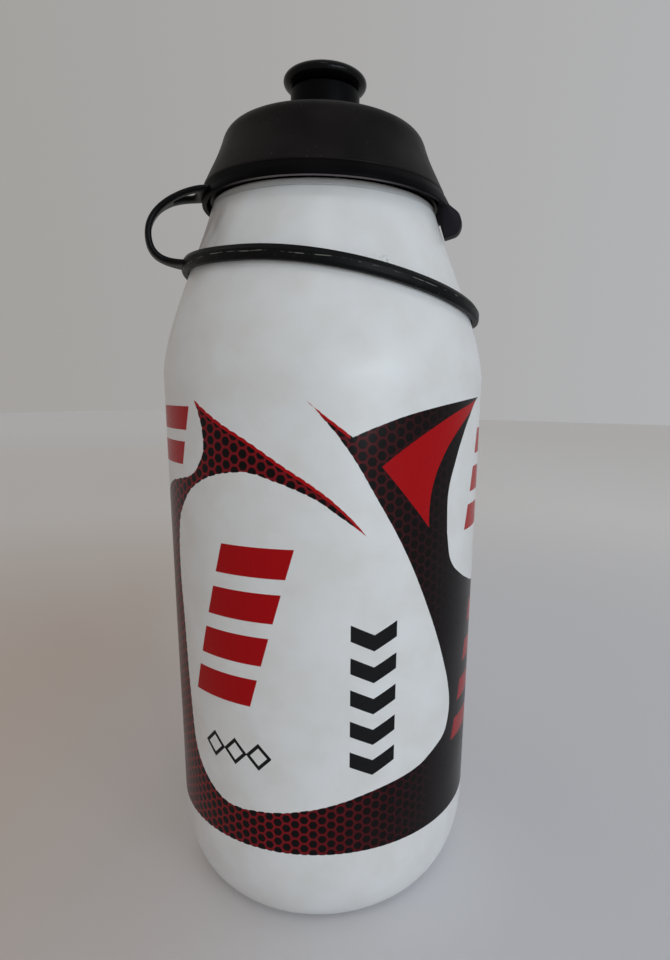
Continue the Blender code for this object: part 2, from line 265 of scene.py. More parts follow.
def add_thread_wall(edit, root, crest, start_angle):
    """A wall with one helical thread on it, on the same angles as sweep's, so the two weld."""
    ridge = [(0.0, 0.0), (0.15, 0.12), (0.35, 0.85), (0.5, 1.0)]
    ridge += [(1.6 - offset, height) for offset, height in reversed(ridge)]
    laps = math.ceil((THREAD_HIGH_Z - THREAD_LOW_Z) / PITCH) + 1
    columns = []
    for j in range(SEGMENTS + 1):
        turn = j / SEGMENTS
        angle = start_angle + 360.0 * (j % SEGMENTS) / SEGMENTS
        heights = [(root, THREAD_LOW_Z)]
        for lap in range(-1, laps):
            along = lap + turn
            fade = smooth_step(min(along, THREAD_TURNS - along) / THREAD_FADE)
            for offset, height in ridge:
                z = THREAD_LOW_Z + 0.1 + along * PITCH + offset
                z = min(max(z, THREAD_LOW_Z), THREAD_HIGH_Z)
                heights.append((root + (crest - root) * height * fade, z))
        heights.append((root, THREAD_HIGH_Z))
        columns.append([edit.verts.new(ring_point(r, angle, z) * MM) for r, z in heights])
    bridge(edit, columns, close_section=False, close_round=False)


# ---------------------------------------------------------------- shader arithmetic

class Field:
    """A number that varies over a surface: a shader socket that plain arithmetic works on."""

    def __init__(self, tree, socket):
        self.tree = tree
        self.socket = socket

    def math(self, operation, *others):
        node = self.tree.nodes.new("ShaderNodeMath")
        node.operation = operation
        for target, value in zip(node.inputs, (self, *others)):
            if isinstance(value, Field):
                self.tree.links.new(value.socket, target)
            else:
                target.default_value = value
        return Field(self.tree, node.outputs[0])

    def __add__(self, other):
        return self.math("ADD", other)

    def __sub__(self, other):
        return self.math("SUBTRACT", other)

    def __mul__(self, other):
        return self.math("MULTIPLY", other)

    def __truediv__(self, other):
        return self.math("DIVIDE", other)

    def __neg__(self):
        return self.math("MULTIPLY", -1.0)

    def __abs__(self):
        return self.math("ABSOLUTE")

    def __or__(self, other):
        return self.math("MAXIMUM", other)

    def __and__(self, other):
        return self.math("MINIMUM", other)

    def root(self):
        return self.math("SQRT")

    def wrap(self, low, high):
        return self.math("WRAP", high, low)

    def step(self, soft=0.05):
        """0 where the field is negative and 1 where it is positive, with a soft edge."""
        return self.ramp(-soft, soft)

    def ramp(self, low, high):
        node = self.tree.nodes.new("ShaderNodeMapRange")
        node.interpolation_type = "SMOOTHSTEP"
        self.tree.links.new(self.socket, node.inputs["Value"])
        node.inputs["From Min"].default_value = low
        node.inputs["From Max"].default_value = high
        return Field(self.tree, node.outputs["Result"])

    def curve(self, points):
        """A smooth line through (input, output) points, carried on straight past its ends."""
        inputs = [p[0] for p in points]
        outputs = [p[1] for p in points]
        bottom, height = min(outputs), max(outputs) - min(outputs)
        node = self.tree.nodes.new("ShaderNodeFloatCurve")
        scaled = (self - inputs[0]) / (inputs[-1] - inputs[0])
        self.tree.links.new(scaled.socket, node.inputs["Value"])
        node.mapping.extend = "EXTRAPOLATED"
        line = node.mapping.curves[0]
        places = [
            ((x - inputs[0]) / (inputs[-1] - inputs[0]), (y - bottom) / height)
            for x, y in points
        ]
        line.points[0].location = places[0]
        line.points[1].location = places[-1]
        for place in places[1:-1]:
            line.points.new(*place)
        node.mapping.update()
        return Field(self.tree, node.outputs[0]) * height + bottom


class Look:
    """A Principled material with the fields that a moulded piece's surface is drawn from."""

    def __init__(self, name, roughness, specular=0.5):
        self.material = bpy.data.materials.new(name)
        self.material.use_nodes = True
        self.tree = self.material.node_tree
        self.shader = self.tree.nodes["Principled BSDF"]
        self.shader.inputs["Roughness"].default_value = roughness
        self.shader.inputs["Specular IOR Level"].default_value = specular
        self.place = self.tree.nodes.new("ShaderNodeTexCoord").outputs["Object"]
        split = self.tree.nodes.new("ShaderNodeSeparateXYZ")
        self.tree.links.new(self.place, split.inputs[0])
        self.x, self.y, self.z = (Field(self.tree, split.outputs[k]) * (1 / MM) for k in range(3))

    def azimuth(self):
        return self.y.math("ARCTAN2", self.x) * (180 / math.pi)

    def noise(self, size_mm, detail=2.0, stretch=(1.0, 1.0, 1.0)):
        """Noise from about 0 to 1, with features of the given size."""
        mapping = self.tree.nodes.new("ShaderNodeMapping")
        mapping.inputs["Scale"].default_value = stretch
        self.tree.links.new(self.place, mapping.inputs["Vector"])
        node = self.tree.nodes.new("ShaderNodeTexNoise")
        node.inputs["Scale"].default_value = 1 / (size_mm * MM)
        node.inputs["Detail"].default_value = detail
        self.tree.links.new(mapping.outputs[0], node.inputs["Vector"])
        return Field(self.tree, node.outputs["Fac"])

    def mottle(self, size_mm, high, dark, light):
        """Two close colours in soft patches."""
        return self.mix(self.noise(size_mm, 4.0).ramp(0.3, high), self.colour(*dark), self.colour(*light))

    def smudge(self, size_mm, spread, middle):
        """A number that drifts about its middle in soft patches."""
        return (self.noise(size_mm, 3.0) - 0.5) * spread + middle

    def facing_down(self):
        """1 on the flat undersides and 0 elsewhere."""
        split = self.tree.nodes.new("ShaderNodeSeparateXYZ")
        geometry = self.tree.nodes.new("ShaderNodeNewGeometry")
        self.tree.links.new(geometry.outputs["Normal"], split.inputs[0])
        return (-Field(self.tree, split.outputs["Z"])).ramp(0.6, 0.9)

    def colour(self, red, green, blue):
        return display_colour(self.tree, red, green, blue)

    def mix(self, share, first, second):
        return mix_colours(self.tree, share, first, second)

    def set(self, socket, source):
        self.tree.links.new(getattr(source, "socket", source), self.shader.inputs[socket])

    def bump(self, *reliefs):
        """Adds up (height field, depth in mm) reliefs."""
        normal = None
        for height, depth in reliefs:
            node = self.tree.nodes.new("ShaderNodeBump")
            node.inputs["Distance"].default_value = depth * MM
            self.tree.links.new(height.socket, node.inputs["Height"])
            if normal:
                self.tree.links.new(normal, node.inputs["Normal"])
            normal = node.outputs[0]
        self.tree.links.new(normal, self.shader.inputs["Normal"])


def display_colour(tree, red, green, blue):
    """A colour node from display values, 0 to 255."""
    node = tree.nodes.new("ShaderNodeRGB")
    node.outputs[0].default_value = (*display(red, green, blue), 1.0)
    return node.outputs[0]


def mix_colours(tree, share, first, second):
    """The first colour where share is 0 and the second where it is 1."""
    node = tree.nodes.new("ShaderNodeMix")
    node.data_type = "RGBA"
    tree.links.new(share.socket, node.inputs["Factor"])
    tree.links.new(first, node.inputs["A"])
    tree.links.new(second, node.inputs["B"])
    return node.outputs["Result"]


def display(*values):
    """Linear values of display values from 0 to 255."""
    linear = []
    for value in values:
        share = value / 255
        linear.append(share / 12.92 if share <= 0.04045 else ((share + 0.055) / 1.055) ** 2.4)
    return tuple(linear)


# ---------------------------------------------------------------- the print

# Angles run to the right of the front, heights up from the foot. The print repeats once on the back.
MM_PER_DEGREE = BODY_R * math.pi / 180
PRINT_LOW = 22.4
DOT_PAIRS = 59
DOT_PITCH = 2.28
DOT_R = 0.9
BAR_LEAN = 0.3
# The big white panel: its left side, bottom and right side.
PANEL_LEFT = (
    (33, -39), (35.5, -44), (39, -48.5), (44, -51), (55, -53), (70, -55), (82, -56.5),
    (88, -56), (94, -53.5), (98.8, -48), (101, -43.5),
)
PANEL_BOTTOM = (
    (-52, 44), (-48.5, 39), (-44, 35.5), (-38, 32.6), (-30, 31), (-20, 31.3), (0, 33.3),
    (20, 36.5), (40, 39.4), (50, 42.5), (53, 44.1), (55, 46.5),
)
PANEL_RIGHT = (
    (42.5, 50), (44.1, 53), (47.5, 55), (50.6, 55.4), (55, 54), (61.9, 50), (76.2, 40),
    (89.1, 30), (100, 20), (109.4, 11), (118.2, -0.5),
)
# The left spike, between the panel's top and the white of the shoulder.
PANEL_TOP = (
    (-50, 96.8), (-40, 101.9), (-30, 104.1), (-20, 104.7), (-12, 103.4), (0, 100.4), (8, 96.9), (17, 92.5),
)
SPIKE_TOP = ((-42, 118.8), (-30, 114.2), (-20, 110.9), (-8, 106), (0, 102.7), (8, 98.7), (17, 92.5))
# The black field's top, right of the right spike.
BAND_TOP = ((12.5, 111.9), (20, 113.9), (30, 116), (40, 117.4), (50, 118.4), (65, 119.4), (90, 120.2))
# The white side panel.
SIDE_LEFT = (
    (78.8, 66), (80.6, 60), (83.8, 53), (87.5, 50), (95, 48.5), (100, 48.6), (106.2, 52),
    (111.2, 56), (116.2, 62), (118.8, 67), (120.2, 78),
)
SIDE_BOTTOM = (
    (50, 88), (53, 83.8), (60, 80.6), (66, 78.8), (78, 76.5), (90, 76.5), (98, 81), (105, 91),
    (112, 98.5), (120, 100.8), (136, 103.2), (140, 105.3), (143, 108.5),
)
SIDE_RIGHT = ((103.5, 137), (105, 140.5), (108.8, 143), (111.2, 143), (115, 141.6), (119, 138.4))
# The red wedge.
WEDGE_TOP = ((21.4, 106.2), (30, 110), (40, 113.5), (50, 116.2), (60, 118), (70, 119.4))
WEDGE_RIGHT = ((92, 39.8), (97.5, 39.5), (102.5, 41), (107.5, 45), (111.2, 50), (115.9, 60), (119, 69))
# Straight edges, as (height at angle 0, fall per degree).
RIGHT_SPIKE_TOP = (117.9, 0.493)
LEFT_BAND_TOP = (110.0, 0.3)
WEDGE_BOTTOM = (121.6, 0.72)
LEFT_BAND_HIGH = 119.4
# The bright edge lines of the spikes: half their width, and how far in they lie.
EDGE_LINE = 0.42
EDGE_LINE_IN = 0.2
# How red the dotted ground is, by angle.
REDNESS = (
    (0, 0.75), (15, 0.4), (30, 0.14), (45, 0.04), (60, 0), (90, 0), (115, 0.8), (135, 1), (165, 1),
    (180, 0.75),
)


def dots(angle, height):
    """A honeycomb of dots in upright columns: how far in from the nearest dot's edge, in mm."""
    column = angle / (360 / DOT_PAIRS)
    pair_width = 360 * MM_PER_DEGREE / DOT_PAIRS

    def nearest(shift):
        across = abs((column + shift).wrap(-0.5, 0.5) * pair_width)
        along = abs((height / DOT_PITCH + shift).wrap(-0.5, 0.5) * DOT_PITCH)
        round_reach = (across * across + along * along).root()
        hexagon_reach = along | (across * 0.866 + along * 0.5)
        return (round_reach + hexagon_reach) * 0.5

    return -(nearest(0.0) & nearest(0.5)) + DOT_R


def slanted_bars(angle, middle_angle, height, middle, bar, pitch, count, half_width):
    """A stack of slanted bars about a middle height."""
    across = (angle - middle_angle) * MM_PER_DEGREE
    rise = height - middle
    reach = -abs(across - rise * BAR_LEAN) + half_width
    inside = -abs(rise) + (count * pitch / 2)
    offset = 0.0 if count % 2 else pitch / 2
    row = -abs((rise + offset).wrap(-pitch / 2, pitch / 2)) + bar / 2
    return reach & inside & row


def chevrons(angle, middle_angle, height, low, bar, pitch, count, half_width):
    """A column of chevrons that point down, from a low edge up."""
    across = (angle - middle_angle) * MM_PER_DEGREE
    lifted = height - abs(across) * 0.5 - low
    inside = lifted & (-lifted + (count * pitch - (pitch - bar)))
    row = -abs(lifted.wrap(-pitch / 2, pitch / 2) - bar / 2) + bar / 2
    return inside & row & (-abs(across) + half_width)


def diamonds(angle, middle_angle, height, middle, size, line, pitch, count):
    """A row of diamond outlines."""
    across = (angle - middle_angle) * MM_PER_DEGREE
    offset = 0.0 if count % 2 else pitch / 2
    reach = abs((across + offset).wrap(-pitch / 2, pitch / 2)) + abs(height - middle)
    return (-abs(reach - size) + line) & (-abs(across) + count * pitch / 2)


def below_line(edge, angle, height):
    """How far a place is below a straight edge, in mm of height."""
    level, fall = edge
    return -angle * fall + level - height


def print_ground(front, side, height):
    """How far in a place is, in mm, on the dark ground and on the bright red shapes over it.

    A share under 1 turns a distance along an axis into the one across a slanted edge.
    """
    left_of_right_edge = (height.curve(PANEL_RIGHT) - front) * MM_PER_DEGREE * 0.8
    spike_depth = (front.curve(SPIKE_TOP) - height) * 0.85
    shoulder_white = -spike_depth & left_of_right_edge
    panel = (front - height.curve(PANEL_LEFT)) * MM_PER_DEGREE
    panel = panel & (height - front.curve(PANEL_BOTTOM)) & left_of_right_edge
    panel = panel & (front.curve(PANEL_TOP) - height)
    side_panel = (side - height.curve(SIDE_LEFT)) * MM_PER_DEGREE
    side_panel = side_panel & (height - side.curve(SIDE_BOTTOM))
    side_panel = side_panel & (((height.curve(SIDE_RIGHT) | SIDE_RIGHT[0][1]) - side) * MM_PER_DEGREE)

    point_depth = below_line(RIGHT_SPIKE_TOP, front, height) * 0.9
    band = point_depth & (front + 2.0)
    band = band | ((side.curve(BAND_TOP) - height) & (front - 8.0))
    left_band = (-height + LEFT_BAND_HIGH) & below_line(LEFT_BAND_TOP, front, height) & (-front + 1.0)
    band = band | left_band
    ground = band & -shoulder_white & -panel & -side_panel & (height - PRINT_LOW)

    wedge = (side.curve(WEDGE_TOP) - height) & -below_line(WEDGE_BOTTOM, side, height)
    wedge = wedge & ((height.curve(WEDGE_RIGHT) - side) * MM_PER_DEGREE * 0.8)
    spike_line = (-abs(spike_depth - EDGE_LINE_IN) + EDGE_LINE) & (-front + 17.0)
    point_line = (-abs(point_depth - EDGE_LINE_IN) + EDGE_LINE) & (-front + 11.5)
    return ground, wedge | spike_line | point_line


def print_marks(front, side, height):
    """The generic marks: red bars on white, dull red bars on the ground, and black marks on white."""
    stack = slanted_bars(front, -26, height, 72.8, bar=6.2, pitch=9.4, count=4, half_width=8.2)
    side_stack = slanted_bars(side, 80, height, 101.6, bar=5.6, pitch=8.4, count=3, half_width=8.8)
    small_stack = slanted_bars(side, 121, height, 111.0, bar=4.8, pitch=7.2, count=2, half_width=8.0)
    low_stack = slanted_bars(side, 78, height, 56.0, bar=5.0, pitch=9.0, count=4, half_width=8.0)
    column = chevrons(front, 20, height, 40.4, bar=4.4, pitch=7.0, count=5, half_width=5.1)
    row = diamonds(front, -28, height, 44.3, size=2.6, line=0.55, pitch=6.0, count=3)
    red_marks = (stack | side_stack | small_stack).step()
    return red_marks, low_stack.step(), (column | row).step()


def printed_look():
    """White plastic with the print on it, worn a little by the tether, and with painted shade inside its
    strap's loop.
    """
    look = Look("printed_plastic", roughness=0.34)
    turn = look.azimuth() - FRONT
    front = turn.wrap(-90.0, 90.0)
    side = turn.wrap(0.0, 180.0)
    height = look.z
    dot = dots(turn, height)
    redness = side.curve(REDNESS)
    ground, bright = print_ground(front, side, height)
    red_marks, low_marks, black_marks = print_marks(front, side, height)
    scallop = (dot.step(0.3) - 0.5) * 0.16
    ink = (ground + scallop * redness).step()

    red_ink = look.colour(166, 8, 16)
    dotted = look.mix(redness, look.colour(14, 14, 17), look.colour(122, 20, 28))
    dotted = look.mix(dot.step(0.12), dotted, look.colour(14, 8, 9))
    dotted = look.mix(low_marks, dotted, look.colour(150, 24, 30))

    white = look.mottle(9.0, 0.75, (226, 227, 228), (219, 218, 216))
    scuffs = scuff_marks(look, turn, height)
    white = look.mix(scuffs, white, look.colour(120, 120, 118))
    # Painted shade: the shoulder inside the strap's loop is painted grey.
    white = look.mix(strap_painted_shade(look, turn, height), white, look.colour(128, 120, 117))
    base = look.mix(ink, white, look.mix(bright.step(), dotted, red_ink))
    base = look.mix(red_marks, base, red_ink)
    base = look.mix(black_marks, base, look.colour(24, 24, 26))
    look.set("Base Color", base)
    marks = ink | red_marks | black_marks
    look.set("Roughness", look.smudge(14.0, 0.12, 0.33) - marks * 0.06 + scuffs * 0.2)
    look.set("Specular IOR Level", marks * -0.33 + 0.45)
    look.bump((look.noise(26.0, 1.0), 0.5), (look.noise(0.9, 2.0), 0.006), (marks, 0.012))
    look.shader.inputs["Subsurface Weight"].default_value = 0.12
    look.shader.inputs["Subsurface Radius"].default_value = (1.0, 0.9, 0.8)
    look.shader.inputs["Subsurface Scale"].default_value = 0.0015
    return look.material


def scuff_marks(look, turn, height):
    """Grey rub marks just above the tether's ring, on the right of the front."""
    above = height - ring_height(turn + FRONT) - NECK_RING_HEIGHT / 2
    near = above.ramp(-1.0, 0.2) & (-above).ramp(-2.6, -0.9)
    around = (-front_gap(turn, 36.0)).ramp(-20.0, -8.0)
    speckle = look.noise(0.8, 5.0, (1.0, 1.0, 1.8)).ramp(0.52, 0.68)
    patch = look.noise(4.0, 2.0).ramp(0.42, 0.62)
    return near * around * speckle * patch * 0.75


def strap_painted_shade(look, turn, height):
    """Painted shade: a grey smear on the shoulder inside the strap's loop, between the rings, where the
    strap and the rings shade it.
    """
    around = (-front_gap(turn, STRAP_AZIMUTH - FRONT)).ramp(-38.0, -8.0)
    between = height.ramp(145.0, 149.0) & (-height).ramp(-159.5, -155.0)
    streaks = look.noise(3.0, 3.0, (1.0, 1.0, 0.25)).ramp(0.25, 0.8)
    return around * between * (streaks * 0.6 + 0.3)


def ring_height(azimuth):
    """The height of the neck ring's middle by azimuth, as a field, without the strap's pull."""
    tilt = ((azimuth - NECK_RING_HIGH) * (math.pi / 180)).math("COSINE") * NECK_RING_RISE
    bow = ((azimuth - NECK_RING_BOW_HIGH) * (math.pi / 90)).math("COSINE") * NECK_RING_BOW
    return tilt + bow + NECK_RING_Z


def front_gap(turn, middle):
    """How many degrees a place is from a middle angle, either way."""
    return abs((turn - middle).wrap(-180.0, 180.0))


# ---------------------------------------------------------------- moulded plastics and rubber

def moulded_look(name, dark, light, roughness, grain, grain_depth, dust=0.0, specular=0.3):
    """Moulded plastic or rubber: two close colours, fine grain and a little dust."""
    look = Look(name, roughness, specular)
    base = look.mottle(11.0, 0.72, dark, light)
    if dust:
        specks = look.noise(0.55, 1.0).ramp(0.71, 0.78) * look.noise(6.0, 2.0).ramp(0.4, 0.7)
        base = look.mix(specks * dust, base, look.colour(150, 146, 140))
    look.set("Base Color", base)
    look.set("Roughness", look.smudge(7.0, 0.2, roughness))
    look.bump((look.noise(grain, 2.0), grain_depth), (look.noise(18.0, 1.0), 0.12))
    return look.material


def cap_ring_look():
    """The cap ring's rubber, with painted light: paler near the thumb tab for its lit face, and paler on
    its underside at the front for light reflected up from the white shoulder.
    """
    look = Look("cap_ring_rubber", 0.45, specular=0.03)
    turn = look.azimuth()
    base = look.mottle(11.0, 0.72, (6, 5, 7), (11, 10, 12))
    # Painted light: the ring near the thumb tab is painted paler grey, as if lit.
    tab_painted_light = (-front_gap(turn, TAB_AZIMUTH)).ramp(-34.0, -8.0) * (look.noise(5.0, 3.0) * 0.4 + 0.6)
    base = look.mix(tab_painted_light, base, look.colour(42, 40, 45))
    at_front = (-front_gap(turn - FRONT, 0.0)).ramp(-50.0, -15.0)
    # Painted reflection: the underside at the front is painted pale, as if lit by the white shoulder
    # below.
    below = look.facing_down() * (look.z - CAP_RING_Z[0]).ramp(-0.4, -0.1) * at_front
    look.set("Base Color", look.mix(below * 0.8, base, look.colour(128, 120, 122)))
    look.set("Roughness", look.smudge(7.0, 0.2, 0.45))
    look.bump((look.noise(0.5, 2.0), 0.006), (look.noise(18.0, 1.0), 0.12))
    return look.material


def scratched_rubber():
    """The tether's rubber, with one broken light scratch along the neck ring's face."""
    look = Look("tether_rubber", 0.42, specular=0.1)
    turn = look.azimuth()
    wander = (look.noise(10.0, 2.0) - 0.5) * 0.9
    line = -abs(look.z - ring_height(turn) - wander) + 0.05
    broken = look.noise(2.2, 4.0, (1.0, 1.0, 0.1)).ramp(0.48, 0.62)
    front = (-front_gap(turn - FRONT, 0.0)).ramp(-75.0, -60.0)
    scratch = line.step(0.06) * broken * front
    base = look.mottle(8.0, 0.7, (10, 10, 12), (18, 19, 20))
    rubbed = look.noise(1.4, 4.0).ramp(0.6, 0.8) * 0.2
    base = look.mix(rubbed, base, look.colour(70, 74, 71))
    look.set("Base Color", look.mix(scratch * 0.7, base, look.colour(150, 150, 140)))
    look.set("Roughness", look.smudge(5.0, 0.24, 0.42))
    look.bump((look.noise(0.35, 2.0), 0.01), (look.noise(9.0, 1.0), 0.08))
    return look.material


# ---------------------------------------------------------------- pieces

def body_radius(z):
    """The wall's outer radius at a height below the crease."""
    return BODY_R - BODY_TAPER * (CREASE_Z - z)


def shoulder_radius(z):
    """The shoulder's outer radius at a height between the crease and the collar."""
    low, high = 0.0, 1.0
    for _ in range(40):
        t = (low + high) / 2
        weights = ((1 - t) ** 3, 3 * t * (1 - t) ** 2, 3 * t * t * (1 - t), t**3)
        height = sum(w * c[1] for w, c in zip(weights, SHOULDER))
        low, high = (t, high) if height < z else (low, t)
    return sum(w * c[0] for w, c in zip(weights, SHOULDER))


def bottle_outside():
    """From the foot of the thread down the outside to the middle of the foot's hollow."""
    corner_r = body_radius(FOOT_CORNER_H) - FOOT_R
    points = [(NECK_ROOT_R, THREAD_LOW_Z), (NECK_ROOT_R, COLLAR_TOP_Z + 0.3)]
    points += [(NECK_ROOT_R + 0.3, COLLAR_TOP_Z)]
    points += arc((COLLAR_R - 0.9, COLLAR_TOP_Z - 0.5), 0.5, 0.5, 90, 0, 5)
    points += [(COLLAR_R - 0.4, COLLAR_Z + 0.35), (COLLAR_R - 0.3, COLLAR_Z + 0.15)]
    points += list(reversed(bezier(*SHOULDER, steps=34)))
    wall_steps = 40
    for i in range(1, wall_steps):
        z = CREASE_Z + (FOOT_CORNER_H - CREASE_Z) * i / wall_steps
        points.append((body_radius(z), z))
    points += arc((FOOT_R, FOOT_CORNER_H), corner_r, FOOT_CORNER_H, 0, -90, 22)
    hollow_handles = (FOOT_INNER_R - 1.6, 0), (FOOT_INNER_R - 3.6, PUNT_Z)
    points += bezier((FOOT_INNER_R, 0), *hollow_handles, (FOOT_INNER_R - 7, PUNT_Z), 8)
    return points + [(r, PUNT_Z) for r in (11, 8, 5, 2.5, 0)]


def bottle_inside():
    """From the middle of the floor up the inside, over the lip and down to the top of the thread."""
    corner_r = body_radius(FOOT_CORNER_H) - FOOT_R - WALL
    points = [(0.0, PUNT_Z + WALL), (FOOT_INNER_R - 7.0, PUNT_Z + WALL)]
    points += arc((FOOT_R, FOOT_CORNER_H), corner_r, FOOT_CORNER_H - WALL, -84, 0, 10)
    points += [(BODY_R - WALL, CREASE_Z)]
    points += [(r - WALL, z - 0.5) for r, z in bezier(*SHOULDER, steps=10)[1:]]
    points += [(BORE_R, COLLAR_TOP_Z - WALL), (BORE_R, NECK_TOP_Z - 0.5)]
    points += arc((BORE_R + 0.4, NECK_TOP_Z - 0.4), 0.4, 0.4, 180, 90, 4)
    points += arc((NECK_ROOT_R - 0.4, NECK_TOP_Z - 0.4), 0.4, 0.4, 90, 0, 4)
    return points + [(NECK_ROOT_R, THREAD_HIGH_Z)]


def make_bottle(material):
    profile = bottle_outside() + bottle_inside()
    edit = bmesh.new()
    sweep(edit, lambda angle: profile, even_angles(SEGMENTS), closed=False)
    add_thread_wall(edit, NECK_ROOT_R, NECK_CREST_R, start_angle=0.0)
    for vertex in edit.verts:
        add_blow_marks(vertex)
    return add_piece("bottle_shell", edit, material)


def add_blow_marks(vertex):
    """The pinched weld across the hollow of the foot, and the slight waves of a blown wall."""
    x, y, z = vertex.co / MM
    if math.hypot(x, y) < WELD_REACH and z < PUNT_Z + 0.1:
        weld = smooth_step(1.6 - abs(y) / 0.6) * smooth_step((WELD_REACH - abs(x)) / 1.5)
        vertex.co.z -= WELD_DEPTH * MM * weld
    if WAVE_LOW_Z < z < COLLAR_Z:
        wave = noise.noise(vertex.co * WAVE_SCALE) * WAVE_DEPTH
        vertex.co += Vector((x, y, 0.0)).normalized() * wave * MM


def make_cap(material):
    corners = [
        (CAP_ROOT_R, THREAD_LOW_Z, 0),
        (CAP_ROOT_R + 0.3, SKIRT_LOW_Z, 0.15),
        (SKIRT_R, SKIRT_LOW_Z, 0.2),
        (SKIRT_R, RIM_Z, 0.1),
        (RIM_R, RIM_Z, 0.06),
        (RIM_R, RIM_Z + 0.35, 0.2),
        (26.1, RIM_Z + 2.1, 1.2),
        (23.4, 170.3, 3.4),
        (21.6, 175.6, 2.7),
        (13.0, 177.2, 2.0),
        (9.3, 177.6, 0.4),
        (8.3, 177.1, 0.3),
        (8.3, 175.2, 0.3),
        (5.6, 175.2, 0.2),
        (5.6, TUBE_TOP_Z - 1.2, 0.15),
        (6.0, TUBE_TOP_Z - 0.9, 0.15),
        (6.0, TUBE_TOP_Z - 0.4, 0.15),
        (5.4, TUBE_TOP_Z, 0.15),
        (4.2, TUBE_TOP_Z, 0.1),
        (4.2, 173.8, 0.2),
        (18.6, 173.8, 0.5),
        (19.2, 170.3, 0.2),
        (21.9, 170.3, 0.1),
        (21.9, NECK_TOP_Z + 0.8, 0.2),
        (CAP_ROOT_R, THREAD_HIGH_Z, 0),
    ]
    profile = rounded(corners, closed=False, steps=8)
    edit = bmesh.new()
    sweep(edit, lambda angle: profile, even_angles(SEGMENTS), closed=False)
    add_thread_wall(edit, CAP_ROOT_R, CAP_CREST_R, start_angle=180.0)
    return add_piece("cap_shell", edit, material, sharp=50.0)


def make_gasket(material):
    low, high = low_z("cap_gasket"), high_z("cap_gasket")
    corners = [(19.6, low, 0.3), (21.6, low, 0.3), (21.6, high, 0.3), (19.6, high, 0.3)]
    return turned("gasket_ring", rounded(corners), material)


def make_sleeve(material):
    shoulder = SPIGOT_TOP_Z - 1.3
    bore_top = TUBE_TOP_Z + 0.6
    corners = [
        (SLEEVE_R, SLEEVE_LOW_Z, 0.25),
        (SLEEVE_R, shoulder, 0.3),
        (5.6, shoulder, 0.15),
        (5.6, SPIGOT_TOP_Z, 0.2),
        (2.6, SPIGOT_TOP_Z, 0.2),
        (2.6, bore_top, 0.2),
        (6.4, bore_top, 0.2),
        (6.4, SLEEVE_LOW_Z + 1.0, 0.2),
        (5.9, SLEEVE_LOW_Z + 0.6, 0.15),
        (5.9, SLEEVE_LOW_Z, 0.15),
    ]
    return turned("sleeve_shell", rounded(corners), material, segments=128)


def make_lip(material):
    """A soft ring with a round lip, dished down to the hole."""
    middle = (LIP_LOW_Z + LIP_HIGH_Z) / 2
    half = (LIP_HIGH_Z - LIP_LOW_Z) / 2
    seat = SPIGOT_TOP_Z + 0.3
    profile = arc((6.7, middle), 2.45, half, -90, 105, 26)
    dish = (5.95, middle + half * 0.97)
    profile += bezier(dish, (4.9, middle + half * 0.9), (4.4, middle + 0.75), (3.5, middle + 0.62), 8)[1:]
    profile += arc((3.35, middle + 0.37), 0.25, 0.25, 90, 180, 4)
    profile += [(3.1, seat), (5.9, seat), (5.9, LIP_LOW_Z)]
    return turned("lip_ring", profile, material, segments=160)


def cap_ring_section(angle):
    """The ring's section at one angle: slimmer beside the strap, and the thumb tab's at the tab."""
    low, high = CAP_RING_Z
    beside_strap = 1.0 - abs(turn_between(angle, STRAP_AZIMUTH)) / CAP_RING_SLIM_REACH
    lip_r = CAP_RING_LOW_R - CAP_RING_SLIM * smooth_step(beside_strap)
    plain = [
        (CAP_RING_IN_R, high, 0.15),
        (CAP_RING_TOP_R, high, 0.1),
        (lip_r - 0.3, low + 1.6, 0.3),
        (lip_r - 0.1, low + 1.0, 0.3),
        (lip_r, low + 0.5, 0.2),
        (lip_r, low + 0.2, 0.1),
        (lip_r - 0.15, low, 0.1),
        (lip_r - 1.0, low, 0.15),
        (CAP_RING_IN_R, low + 1.6, 0.4),
    ]
    tab = [
        (CAP_RING_IN_R, high, 0.15),
        (CAP_RING_TOP_R, high, 0.1),
        (CAP_RING_LOW_R + 0.2, low + 0.7, 0.3),
        (CAP_RING_LOW_R + 0.5, low + 0.2, 0.15),
        (CAP_RING_LOW_R + 2.2, low - 0.6, 0.8),
        (CAP_RING_LOW_R + 3.1, low - 2.9, 1.3),
        (CAP_RING_LOW_R + 2.1, low - 5.1, 1.0),
        (CAP_RING_LOW_R - 0.9, low - 6.0, 0.3),
        (CAP_RING_IN_R - 0.15, low - 1.7, 0.5),
    ]
    away = abs(turn_between(angle, TAB_AZIMUTH))
    share = smooth_step((TAB_END - away) / (TAB_END - TAB_FULL))
    corners = [tuple(p + (q - p) * share for p, q in zip(a, b)) for a, b in zip(plain, tab)]
    return rounded(corners)


def make_cap_ring(material):
    """Even steps all round, with finer ones across the thumb tab."""
    angles = [a for a in even_angles(SEGMENTS) if abs(turn_between(a, TAB_AZIMUTH)) > TAB_END]
    angles += [TAB_AZIMUTH + TAB_END * step / TAB_STEPS for step in range(-TAB_STEPS, TAB_STEPS + 1)]
    edit = bmesh.new()
    sweep(edit, cap_ring_section, sorted(a % 360 for a in angles), closed=True)
    return add_piece("cap_ring_moulding", edit, material, sharp=60.0)


def neck_ring_middle(angle):
    """The ring hangs tilted and a little bowed, and the strap pulls it up beside where it joins."""
    tilt = NECK_RING_RISE * math.cos(math.radians(angle - NECK_RING_HIGH))
    bow = NECK_RING_BOW * math.cos(math.radians(2 * (angle - NECK_RING_BOW_HIGH)))
    away = abs(turn_between(angle, NECK_RING_PULL_AT))
    return NECK_RING_Z + tilt + bow + NECK_RING_PULL * smooth_step(1 - away / NECK_RING_PULL_REACH)


def neck_ring_inner(angle):
    """The ring lies on the shoulder, so it is wider where it hangs lower."""
    return shoulder_radius(neck_ring_middle(angle) - NECK_RING_HEIGHT / 2) + NECK_RING_CLEAR


